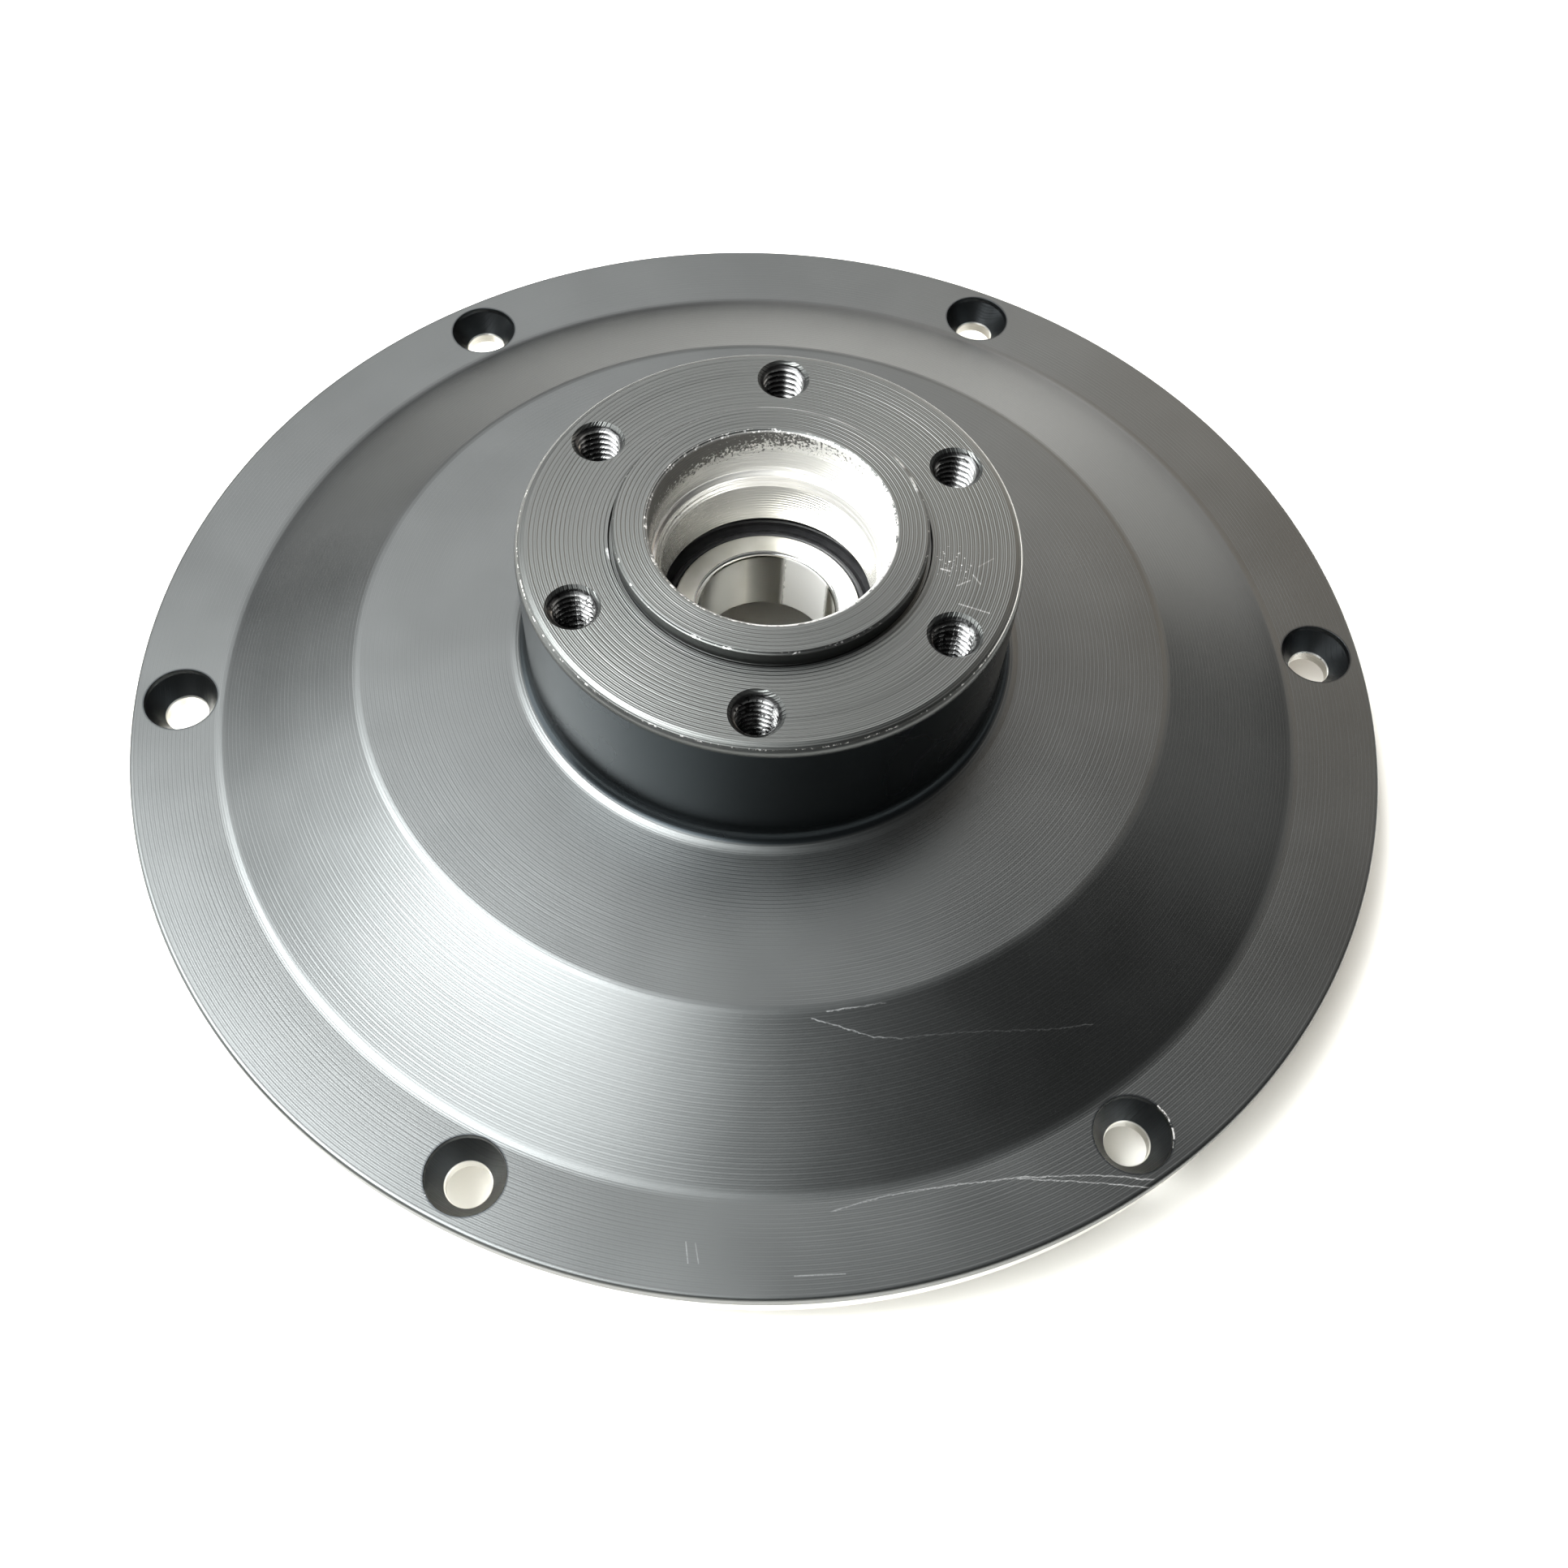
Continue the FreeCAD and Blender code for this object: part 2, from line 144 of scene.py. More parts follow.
TABLE_HALF = 3.0
table_mesh = bmesh.new()
bmesh.ops.create_grid(table_mesh, x_segments=1, y_segments=1, size=TABLE_HALF)
table_data = bpy.data.meshes.new("table")
table_mesh.to_mesh(table_data)
table = bpy.data.objects.new("table", table_data)
scene.collection.objects.link(table)
card, card_shader = new_finish("white_card")
feed(card_shader, "Base Color", (0.90, 0.88, 0.83, 1))
feed(card_shader, "Roughness", 0.8)
table_data.materials.append(card)

room = bpy.data.worlds.new("pale_room")
scene.world = room
room.use_nodes = True
Sock.tree = room.node_tree
aim_up = Sock.node("ShaderNodeSeparateXYZ", (Sock.node("ShaderNodeTexCoord"),), outs=2)
feed(room.node_tree.nodes["Background"], "Color", (1, 1, 1, 1))
feed(room.node_tree.nodes["Background"], "Strength", aim_up.between(0.02, 0.2, 0.55, 0.05))


def panel(azimuth, elevation, power, colour, distance=0.8, size=0.45):
    """A square soft panel that faces the cover from the given side and height of the photo, in degrees."""
    data = bpy.data.lights.new("soft_panel", "AREA")
    data.shape = "SQUARE"
    data.size = size
    data.energy = power
    data.color = colour
    made = bpy.data.objects.new("soft_panel", data)
    side = math.radians(azimuth) + LOOK_TURN
    up = math.radians(elevation)
    spot = Vector((math.cos(side) * math.cos(up), math.sin(side) * math.cos(up), math.sin(up))) * distance
    made.location = spot
    made.rotation_euler = spot.to_track_quat("Z", "Y").to_euler()
    scene.collection.objects.link(made)


daylight = (0.97, 0.995, 1.0)
plain_white = (1.0, 1.0, 1.0)
warm_wall = (1.0, 0.82, 0.64)
warm_white = (1.0, 0.98, 0.95)
for colour, panels in (
    (daylight, ((180, 58, 14.0), (-140, 58, 6.0), (-120, 45, 2.1), (180, 35, 0.7), (180, 10, 2.0))),
    (plain_white, ((100, 58, 1.7), (150, 35, 0.7), (120, 35, 1.0), (90, 35, 0.8))),
    (warm_wall, ((60, 35, 0.8),)),
    (warm_white, ((30, 35, 0.55), (80, 4, 0.7), (60, 4, 1.1))),
):
    for azimuth, elevation, power in panels:
        panel(azimuth, elevation, power, colour)
scene.view_settings.view_transform = "Standard"
scene.view_settings.exposure = 0.0


# Side cover: one aluminium turning, sprayed black from the outside, bare in the bore and underneath.
# It is turned with a fine pitch that leaves ring marks on every face; the holes are drilled and tapped after.
RIM_R, RIM_TOP, BAND_TOP, RIM_BOTTOM = 71.2, 10.3, 8.6, 6.0
STEEP_R, KNEE_R, KNEE = 61.4, 45.1, 18.05
BOSS_R, BOSS_FOOT, BOSS_TOP = 26.3, 18.7, 35.7
SPIGOT_R, SPIGOT_TOP, GROOVE_R, GROOVE_FLOOR = 16.3, 37.5, 16.7, 35.3
BORE_R, BORE_FLOOR, STEP_R, PASSAGE_R, PASSAGE_TOP = 12.6, 31.3, 11.95, 11.4, 30.2
SEAT_R, BEARING_TOP, BEARING_FOOT, HOUSING_FOOT = 16.0, 23.2, 14.2, 13.2
LIP_R, LIP_INNER, LIP_TOP, LIP_BREAK = 62.0, 58.8, 6.6, 0.5
RELIEF_R, RELIEF_TOP = 14.4, 24.8
HOUSING_R, WEB_FOOT, WEB_R, WEB_KNEE = 20.5, 14.4, 43.1, 13.75
SIDE_STEP, EDGE_BREAK = 0.15, 0.3
# Each corner of the section: radius, height, radius of its blend and steps in the blend, in millimetres.
cover_corners = [
    (LIP_R, RIM_BOTTOM, 0, 0),
    (RIM_R - SIDE_STEP, RIM_BOTTOM, 0.15, 3),
    (RIM_R - SIDE_STEP, BAND_TOP, 0.05, 2),
    (RIM_R, BAND_TOP, 0.05, 2),
    (RIM_R, RIM_TOP, 0.4, 6),
    (STEEP_R, RIM_TOP, 3.0, 5),
    (KNEE_R, KNEE, 3.0, 5),
    (BOSS_R, BOSS_FOOT, 2.2, 9),
    (BOSS_R, BOSS_TOP, 1.2, 9),
    (GROOVE_R, BOSS_TOP, 0.06, 2),
    (GROOVE_R, GROOVE_FLOOR, 0.12, 3),
    (SPIGOT_R - EDGE_BREAK, GROOVE_FLOOR, 0.12, 3),
    (SPIGOT_R - EDGE_BREAK, BOSS_TOP, 0, 0),
    (SPIGOT_R, BOSS_TOP, 0, 0),
    (SPIGOT_R, SPIGOT_TOP - EDGE_BREAK, 0.1, 2),
    (SPIGOT_R - EDGE_BREAK, SPIGOT_TOP, 0.1, 2),
    (BORE_R + EDGE_BREAK, SPIGOT_TOP, 0.08, 2),
    (BORE_R, SPIGOT_TOP - EDGE_BREAK, 0.08, 2),
    (BORE_R, BORE_FLOOR, 0.4, 5),
    (STEP_R, BORE_FLOOR, 0.15, 3),
    (PASSAGE_R, PASSAGE_TOP, 0.35, 4),
    (PASSAGE_R, RELIEF_TOP, 0.08, 2),
    (RELIEF_R, BEARING_TOP, 0, 0),
    (SEAT_R, BEARING_TOP, 0, 0),
    (SEAT_R, HOUSING_FOOT + 0.5, 0.05, 1),
    (SEAT_R + 0.5, HOUSING_FOOT, 0.05, 1),
    (HOUSING_R, HOUSING_FOOT, 0.15, 3),
    (HOUSING_R, WEB_FOOT, 0.3, 3),
    (WEB_R, WEB_KNEE, 1.0, 5),
    (LIP_INNER, LIP_TOP, 0.5, 4),
    (LIP_INNER, LIP_BREAK, 0.1, 2),
    (LIP_INNER + LIP_BREAK, 0, 0.1, 2),
    (LIP_R - LIP_BREAK, 0, 0.1, 2),
    (LIP_R, LIP_BREAK, 0.1, 2),
]


def blended(corner, before, after, radius, steps):
    """Points of a round blend between two straight walls."""
    corner, before, after = (np.array(p, float) for p in (corner, before, after))
    one = (before - corner) / np.linalg.norm(before - corner)
    two = (after - corner) / np.linalg.norm(after - corner)
    half = math.acos(np.clip(one @ two, -1, 1)) / 2
    middle = corner + (one + two) / np.linalg.norm(one + two) * radius / math.sin(half)
    first = corner + one * radius / math.tan(half) - middle
    last = corner + two * radius / math.tan(half) - middle
    begin = math.atan2(first[1], first[0])
    sweep = (math.atan2(last[1], last[0]) - begin + math.pi) % (2 * math.pi) - math.pi
    angles = begin + sweep * np.linspace(0, 1, steps + 1)
    return [tuple(middle + radius * np.array((math.cos(a), math.sin(a)))) for a in angles]


def turned_outline(corners, inset=0.06, longest=6.0):
    """The outline with its blends, and with extra points so that shading stays flat on the straight walls."""
    outline = []
    for index, (across, up, radius, steps) in enumerate(corners):
        before = corners[index - 1][:2]
        after = corners[(index + 1) % len(corners)][:2]
        outline += blended((across, up), before, after, radius, steps) if radius else [(across, up)]
    result = []
    for index, point in enumerate(outline):
        a = np.array(point)
        b = np.array(outline[(index + 1) % len(outline)])
        length = np.linalg.norm(b - a)
        result.append(tuple(a))
        if length > 4 * inset:
            pieces = math.ceil(length / longest)
            cuts = [inset] + [length * k / pieces for k in range(1, pieces)] + [length - inset]
            result += [tuple(a + (b - a) / length * c) for c in cuts]
    return result


def lathe(name, corners, segments, inset=0.06):
    """A closed ring turned round the wheel axis from corners in millimetres: radius, height, blend, steps."""
    outline = np.array(turned_outline(corners, inset)) / 1000
    count = len(outline)
    angles = 2 * math.pi * np.arange(segments)[:, None] / segments
    xyz = np.stack([outline[:, 0] * np.cos(angles), outline[:, 0] * np.sin(angles),
                    np.repeat(outline[None, :, 1], segments, 0)], 2).reshape(-1, 3)
    turn = np.arange(segments)[:, None] * count
    ahead = np.roll(turn, -1, 0)
    row = np.arange(count)[None]
    after = np.roll(row, -1)
    quads = np.stack([turn + row, ahead + row, ahead + after, turn + after], 2).reshape(-1, 4)
    work = bmesh.new()
    verts = [work.verts.new(p) for p in xyz]
    for quad in quads:
        work.faces.new([verts[k] for k in quad])
    bmesh.ops.recalc_face_normals(work, faces=work.faces)
    return new_piece(name, work)


def new_piece(name, work):
    """An object with the finished mesh, linked to the scene."""
    mesh = bpy.data.meshes.new(name)
    work.to_mesh(mesh)
    work.free()
    made = bpy.data.objects.new(name, mesh)
    scene.collection.objects.link(made)
    return made


def smooth(piece, angle=32):
    """Smooth shading, with sharp edges where faces meet at more than the angle."""
    piece.data.shade_smooth()
    piece.data.set_sharp_from_angle(angle=math.radians(angle))


def plug(name, rings):
    """A closed tool shape from rings of points, with both ends capped."""
    work = bmesh.new()
    loops = [[work.verts.new(Vector(p) / 1000) for p in ring] for ring in rings]
    for low, high in zip(loops, loops[1:]):
        for k in range(len(low)):
            after = (k + 1) % len(low)
            work.faces.new((low[k], low[after], high[after], high[k]))
    work.faces.new(loops[0])
    work.faces.new(loops[-1])
    bmesh.ops.recalc_face_normals(work, faces=work.faces)
    return new_piece(name, work)


def ring_tree():
    """Node tree that repeats a shape round the wheel axis."""
    tree = bpy.data.node_groups.new("ring_of_shapes", "GeometryNodeTree")
    face = tree.interface
    face.new_socket("Geometry", in_out="OUTPUT", socket_type="NodeSocketGeometry")
    inputs = {"Geometry": "Geometry", "Count": "Int", "Circle Radius": "Float", "First Angle": "Float",
              "Finish": "Material"}
    for label, kind in inputs.items():
        face.new_socket(label, in_out="INPUT", socket_type="NodeSocket" + kind)
    add, link = tree.nodes.new, tree.links.new
    entry = add("NodeGroupInput")
    circle = add("GeometryNodeMeshCircle")
    index = add("GeometryNodeInputIndex")
    step = add("ShaderNodeMath")
    step.operation = "DIVIDE"
    step.inputs[0].default_value = 2 * math.pi
    angle = add("ShaderNodeMath")
    angle.operation = "MULTIPLY_ADD"
    turn = add("ShaderNodeCombineXYZ")
    lift = add("ShaderNodeCombineXYZ")
    spin = add("GeometryNodeTransform")
    copies = add("GeometryNodeInstanceOnPoints")
    real = add("GeometryNodeRealizeInstances")
    finish = add("GeometryNodeSetMaterial")
    leave = add("NodeGroupOutput")
    link(entry.outputs["Count"], circle.inputs["Vertices"])
    link(entry.outputs["Circle Radius"], circle.inputs["Radius"])
    link(entry.outputs["First Angle"], lift.inputs["Z"])
    link(circle.outputs["Mesh"], spin.inputs["Geometry"])
    link(lift.outputs["Vector"], spin.inputs["Rotation"])
    link(entry.outputs["Count"], step.inputs[1])
    link(index.outputs["Index"], angle.inputs[0])
    link(step.outputs["Value"], angle.inputs[1])
    link(entry.outputs["First Angle"], angle.inputs[2])
    link(angle.outputs["Value"], turn.inputs["Z"])
    link(spin.outputs["Geometry"], copies.inputs["Points"])
    link(entry.outputs["Geometry"], copies.inputs["Instance"])
    link(turn.outputs["Vector"], copies.inputs["Rotation"])
    link(copies.outputs["Instances"], real.inputs["Geometry"])
    link(real.outputs["Geometry"], finish.inputs["Geometry"])
    link(entry.outputs["Finish"], finish.inputs["Material"])
    link(finish.outputs["Geometry"], leave.inputs["Geometry"])
    return tree


round_the_axis = ring_tree()


def ringed(piece, count, circle, first, finish):
    """Repeats a piece round the wheel axis for good; the circle is a diameter in millimetres."""
    step = piece.modifiers.new("ring", "NODES")
    step.node_group = round_the_axis
    values = {"Count": count, "Circle Radius": circle / 2000, "First Angle": math.radians(first), "Finish": finish}
    for item in round_the_axis.interface.items_tree:
        if item.in_out == "INPUT" and item.name in values:
            step[item.identifier] = values[item.name]
    made_plain(piece, step)


def made_plain(piece, step):
    """Applies the modifier to the piece's mesh."""
    mesh = bpy.data.meshes.new_from_object(piece.evaluated_get(bpy.context.evaluated_depsgraph_get()))
    piece.modifiers.remove(step)
    piece.data = mesh


def cut(piece, tool):
    """Takes the tool's shape out of the piece for good."""
    step = piece.modifiers.new("cut", "BOOLEAN")
    step.operation = "DIFFERENCE"
    step.solver = "EXACT"
    step.object = tool
    made_plain(piece, step)
    bpy.data.objects.remove(tool)


def circle_points(radius, height, count):
    """Points of a level circle about the tool's own axis."""
    return [(radius * math.cos(2 * math.pi * k / count), radius * math.sin(2 * math.pi * k / count), height)
            for k in range(count)]


# The screw holes in the rim: a drilled hole, a countersink and a short straight land at its mouth.
# The last steps break the edge steeply enough for the shading to keep the rim's face flat around it.
RIM_CIRCLE = 132.0
HOLE_R, MOUTH_R, LAND, CONE_DEPTH = 2.3, 4.0, 0.6, 2.4
COVER_SIDES, HOLE_SIDES = 300, 80
cone_top = RIM_TOP - LAND
cone_foot = cone_top - CONE_DEPTH
hole_steps = [
    (HOLE_R, RIM_BOTTOM - 1), (HOLE_R, cone_foot - 0.08), (HOLE_R + 0.09, cone_foot + 0.05),
    (MOUTH_R - 0.06, cone_top - 0.09), (MOUTH_R, cone_top + 0.05), (MOUTH_R, RIM_TOP - 0.09),
    (MOUTH_R + 0.03, RIM_TOP - 0.03), (MOUTH_R + 0.08, RIM_TOP + 0.02), (MOUTH_R + 0.1, RIM_TOP + 1)]
cover = lathe("cover_turning", cover_corners, COVER_SIDES)
countersink = plug("countersink_tool", [circle_points(across, up, HOLE_SIDES) for across, up in hole_steps])
ringed(countersink, 6, RIM_CIRCLE, 0, None)
cut(cover, countersink)

# The six tapped holes of the rotor mount: M5 thread with 0.8 mm pitch, chamfered at the mouth.
ROTOR_CIRCLE, ROTOR_TURN = 44.0, 22.2
THREAD_R, CORE_R, PITCH, CHAMFER_R, TAP_SIDES = 2.56, 2.08, 0.8, 2.85, 32
THREADED, DRILLED, DRILL_TIP = 9.0, 13.0, 14.2
tap_rings = [circle_points(CHAMFER_R, BOSS_TOP + 1, TAP_SIDES)]
for depth in np.arange(0, THREADED, PITCH / 8):
    ring = []
    for k in range(TAP_SIDES):
        ridge = abs((depth / PITCH + k / TAP_SIDES) % 1.0 - 0.5) * 2
        flank = min(1.0, max(0.0, (1 - ridge) * 1.3 - 0.12)) * min(1.0, (THREADED - depth) / PITCH)
        across = max(CORE_R + (THREAD_R - CORE_R) * flank, CHAMFER_R - depth)
        turned = 2 * math.pi * k / TAP_SIDES
        ring.append((across * math.cos(turned), across * math.sin(turned), BOSS_TOP - depth))
    tap_rings.append(ring)
tap_rings.append(circle_points(CORE_R - 0.02, BOSS_TOP - DRILLED, TAP_SIDES))
tap_rings.append(circle_points(0.05, BOSS_TOP - DRILL_TIP, TAP_SIDES))
tap = plug("tap_tool", tap_rings)
ringed(tap, 6, ROTOR_CIRCLE, ROTOR_TURN, None)
cut(cover, tap)
smooth(cover)

# The cover's finish: thin satin black over fine turning marks, worn off along the edges, with a painted highlight on
# the boss edge and painted shade in the tapped threads.
# It was sprayed from the outside before tapping, so the bore, the threads, the underside and the rim's foot are bare.
finish, shader = new_finish("black_over_turned_aluminium_with_painted_light")


def position():
    """Place on the piece in millimetres: the vector, x, y, z and the distance from the wheel axis."""
    spot = Sock.node("ShaderNodeTexCoord", outs=3)
    spot = Sock.node("ShaderNodeVectorMath", (spot, (1000, 1000, 1000)), operation="MULTIPLY")
    parts = Sock.node("ShaderNodeSeparateXYZ", (spot,), outs=None)
    x, y, z = (Sock(parts.outputs[k]) for k in range(3))
    return spot, x, y, z, (x * x + y * y).sum("SQRT")


def grain(spot, scale, detail=2.0, rough=0.5):
    """Even noise over the piece, about 0.5 on average, with this many lumps to a millimetre."""
    return Sock.node("ShaderNodeTexNoise", {"Vector": spot, "Scale": scale, "Detail": detail, "Roughness": rough})


def rings(distance, scale, detail=1.0):
    """Noise that changes only with one distance, as tool marks do."""
    return Sock.node("ShaderNodeTexNoise", {"W": distance, "Scale": scale, "Detail": detail}, noise_dimensions="1D")


def ramped(value, low, high, first, last):
    """Goes straight from first to last while the value goes from low to high."""
    ins = {"Value": value, "From Min": low, "From Max": high, "To Min": first, "To Max": last}
    return Sock.node("ShaderNodeMapRange", ins)


# The height of the outside surface over each place tells the underside from it.
spot, x, y, z, r = position()
around = y.sum("ARCTAN2", x)
mottle = grain(spot, 0.06, 2.0, 0.6)
speck = grain(spot, 3.2, 2.0, 0.6)
smear = grain(spot, 0.9, 2.0, 0.6)
skin = ramped(r, STEEP_R, KNEE_R, RIM_TOP, KNEE) + ramped(r, KNEE_R, BOSS_R, 0, BOSS_FOOT - KNEE)


def far_from(place):
    """Distance from a place on the piece."""
    return Sock.node("ShaderNodeVectorMath", (spot, place), outs=1, operation="DISTANCE")


def hole_distance(circle, first):
    """Distance from the nearest of six hole axes on a circle."""
    sixth = math.pi / 3
    folded = (around - (math.radians(first) - sixth / 2)).sum("WRAP", sixth, 0) - sixth / 2
    along = r * folded.sum("COSINE") - circle / 2
    beside = r * folded.sum("SINE")
    return (along * along + beside * beside).sum("SQRT")


# Masks from 0 to 1: first where metal is bare, then where the black is worn off edges; the line along the boss edge is
# also a painted highlight. Places are in millimetres.
screw_hole = hole_distance(RIM_CIRCLE, 0)
tapped_hole = hole_distance(ROTOR_CIRCLE, ROTOR_TURN)
countersunk = screw_hole.between(4.3, 4.1, 0, 1) * z.between(7.3, 7.45)
under = (skin - z).between(1.66, 1.76) * (1 - countersunk)
bore = r.between(12.8, 12.95, 1, 0) * z.between(37.42, 37.3, 0, 1)
hollow = r.between(16.65, 16.75, 1, 0) * z.between(24.9, 24.8, 0, 1)
thread = tapped_hole.between(2.75, 2.6, 0, 1) * (z - 28.4).sum("ABSOLUTE").between(6.9, 7.05, 1, 0)
bare = under.sum("MAXIMUM", bore).sum("MAXIMUM", hollow)
lump = speck + smear

mouth_lump = lump + (around + 0.8).sum("COSINE") * 0.16
mouth_wear = r.near(12.82, 0.26) * z.between(37.05, 37.15) * mouth_lump.between(0.95, 1.12)
spigot_wear = r.near(16.15, 0.16) * z.between(37.1, 37.2) * lump.between(1.14, 1.26)
# Bright line along the boss edge blend: part wear, part a painted highlight in place of the blend's reflection,
# strongest on the right.
boss_edge = (r - 25.95 + 35.35 - z).near(0, 0.17) * z.between(34.8, 35.0)
boss_edge_wear_and_highlight = boss_edge * (lump + (around - 0.55).sum("COSINE").between(0.2, 0.6, 0, 0.4)).between(1.05, 1.2)
chipped = far_from((37.2, -56.4, RIM_TOP)).between(1.5, 3.5, 0.5, 0)
hole_wear = screw_hole.near(4.08, 0.16) * z.between(10.05, 10.15) * (lump + chipped).between(1.35, 1.5)
wear_and_painted_highlight = mouth_wear.sum("MAXIMUM", spigot_wear).sum("MAXIMUM", boss_edge_wear_and_highlight).sum("MAXIMUM", hole_wear)
dust = speck.between(0.83, 0.86)

# Scratches and scrapes. A trail runs through points (along, across, strength) in two coordinates of the piece;
# a stroke is straight, from one point to another in millimetres, with a width and a strength.
shaken_y = y + (smear - 0.5) * 0.4 + (speck - 0.5) * 0.15


def trail(along, across, width, points):
    """Mask of a scrape that follows the points."""
    first, last = points[0][0], points[-1][0]
    low, high = min(p[1] for p in points), max(p[1] for p in points) + 0.001
    ramp = [((a - first) / (last - first), ((b - low) / (high - low), strength, 0, 1)) for a, b, strength in points]
    band = Sock.node("ShaderNodeValToRGB", (ramped(along, first, last, 0, 1),), ramp=ramp)
    parts = Sock.node("ShaderNodeSeparateXYZ", (band,), outs=None)
    line = Sock(parts.outputs[0]) * (high - low) + low
    return (across - line).sum("ABSOLUTE").between(width * 0.3, width, 1, 0) * Sock(parts.outputs[1])


def stroke(start, end, width, depth):
    """Mask of one straight scratch."""
    start, end = Vector(start), Vector(end)
    along = end - start
    offset = Sock.node("ShaderNodeVectorMath", (spot, tuple(start)), operation="SUBTRACT")
    unit = tuple(along / along.length_squared)
    share = Sock.node("ShaderNodeVectorMath", (offset, unit), outs=1, operation="DOT_PRODUCT")
    share = Sock.node("ShaderNodeMath", (share, 1.0), operation="MULTIPLY", use_clamp=True)
    foot = Sock.node("ShaderNodeVectorMath", {0: tuple(along), "Scale": share}, operation="SCALE")
    away = Sock.node("ShaderNodeVectorMath", (offset, foot), outs=1, operation="DISTANCE")
    return away.between(width, width * 0.3, 0, depth)


rim_scrape = trail(x, shaken_y, 0.11, [
    (2.0, -63.0, 0), (2.4, -62.9, 0.25), (7.6, -61.8, 0.3), (12.3, -61.3, 0.4), (20.8, -60.8, 0.6), (28.1, -61.05, 0.6),
    (31.0, -61.4, 0.9), (34.0, -61.9, 0.8), (34.3, -61.9, 0)])
rim_scrape_2 = trail(x, shaken_y, 0.1, [
    (20.6, -60.9, 0), (20.8, -60.9, 0.6), (29.5, -62.0, 0.6), (30.5, -62.2, 1.0), (33.4, -62.6, 1.0), (33.8, -62.6, 0)])
cone_scrape = trail(x, shaken_y, 0.09, [
    (1.2, -46.0, 0), (1.3, -46.0, 0.8), (7.4, -47.8, 0.7), (10.0, -48.0, 0.3), (15.8, -47.5, 0.2), (25.2, -47.1, 0.3),
    (30.1, -46.4, 0.5), (30.3, -46.4, 0)])
cone_scrape_2 = trail(x, shaken_y, 0.1, [
    (2.7, -45.4, 0), (2.8, -45.4, 0.6), (6.3, -45.1, 0.6), (8.6, -44.8, 0.3), (8.8, -44.8, 0)])
mount_scrape = trail(around, r, 0.24, [
    (0.22, 15.9, 0), (0.25, 15.9, 0.5), (0.34, 16.0, 0.6), (0.37, 16.0, 0), (0.44, 16.1, 0), (0.46, 16.1, 0.9),
    (0.54, 16.1, 0.9), (0.57, 16.15, 0.2), (0.86, 16.15, 0.25), (0.92, 16.15, 0.9), (1.08, 16.1, 1.0),
    (1.12, 16.1, 0.2), (1.3, 16.1, 0.5), (1.42, 16.15, 1.0), (1.56, 16.15, 0.9), (1.6, 16.15, 0)])
mount_scrape = mount_scrape * z.between(37.0, 37.1)
strokes = (
    ((-12.0, -65.0, RIM_TOP), (-11.9, -67.0, RIM_TOP), 0.09, 0.25),
    ((-11.1, -65.2, RIM_TOP), (-10.9, -67.1, RIM_TOP), 0.09, 0.2),
    ((-1.9, -68.9, RIM_TOP), (2.9, -69.0, RIM_TOP), 0.09, 0.32),
    ((-16.75, -1.2, BOSS_TOP), (-16.55, -2.4, BOSS_TOP + 0.2), 0.3, 1.0),
    ((18.3, -9.7, BOSS_TOP), (21.2, -11.0, BOSS_TOP), 0.12, 0.6),
    ((20.2, -6.1, BOSS_TOP), (20.8, -7.3, BOSS_TOP), 0.11, 0.5),
    ((20.9, -5.1, BOSS_TOP), (22.6, -4.1, BOSS_TOP), 0.09, 0.3),
    ((18.4, -7.4, BOSS_TOP), (19.8, -6.8, BOSS_TOP), 0.12, 0.5),
    ((17.1, -5.2, BOSS_TOP), (17.9, -5.5, BOSS_TOP), 0.16, 0.7),
)
scratch = rim_scrape
for more in (rim_scrape_2, cone_scrape, cone_scrape_2):
    scratch = scratch.sum("MAXIMUM", more)
for line in strokes:
    scratch = scratch.sum("MAXIMUM", stroke(*line))
scratch = (scratch * (speck * 1.2 - 0.1)).sum("MAXIMUM", mount_scrape * speck.between(0.3, 0.45))
scuffed = far_from((18.3, -4.8, BOSS_TOP)).between(0.6, 4.6, 0.18, 0)
scratch = scratch.sum("MAXIMUM", (speck + scuffed).between(0.8, 0.88))

# Turning marks: two pitches on the faces, a drift of the tool, and a coarser pitch down the bore.
# They are strong on the boss and weak on the cones; the wall of the boss is smooth.
TURNING_PITCH, BORING_PITCH = 0.225, 0.4
fine = r * (2 * math.pi / TURNING_PITCH)
marks = fine.sum("SINE") * 0.006 + (fine * 0.5).sum("SINE") * 0.007
drift = rings(r, 3.2)
height_marks = (z * (2 * math.pi / BORING_PITCH)).sum("SINE") * r.between(12.9, 12.95, 1, 0)
wall = r.between(27.6, 28.2, 1, 0) * z.between(18.95, 19.15) * z.between(34.4, 34.7, 1, 0)
faces = z.between(35.2, 35.4, 0.28, 1.35)

# Colours: satin black, darker on the boss wall and in the countersinks; bare metal with overspray and pits in the bore,
# darker towards its left side; painted shade in the tapped threads, grey crests over nearly black roots, with residue
# at the front.
tint = mottle.between(0.3, 0.7).mix((0.0850, 0.0884, 0.0880), (0.0940, 0.0976, 0.0972))
tint = faces.between(0.5, 1.0).mix(tint, (0.1, 0.1032, 0.1))
tint = wall.mix(tint, (0.047, 0.055, 0.060))
tint = countersunk.mix(tint, (0.040, 0.043, 0.045))
metal = rings(z, 4.0).between(0.2, 0.8).mix((0.74, 0.73, 0.695), (0.82, 0.81, 0.78))
cloud = speck * 1.3 + (around - 2.75).sum("COSINE") * 0.42 + z.between(32.2, 37.1, -0.62, 0.0)
overspray = bore * cloud.between(0.48, 0.74, 0, 0.93)
# Darker towards the left side of the bore.
bore_left_darkening = bore * (around - 2.95).sum("COSINE").between(0.3, 1.0, 0, 0.6)
pits = bore * z.near(30.8, 0.8) * (speck + (around - 3.0).sum("COSINE") * 0.3).between(0.82, 0.92)
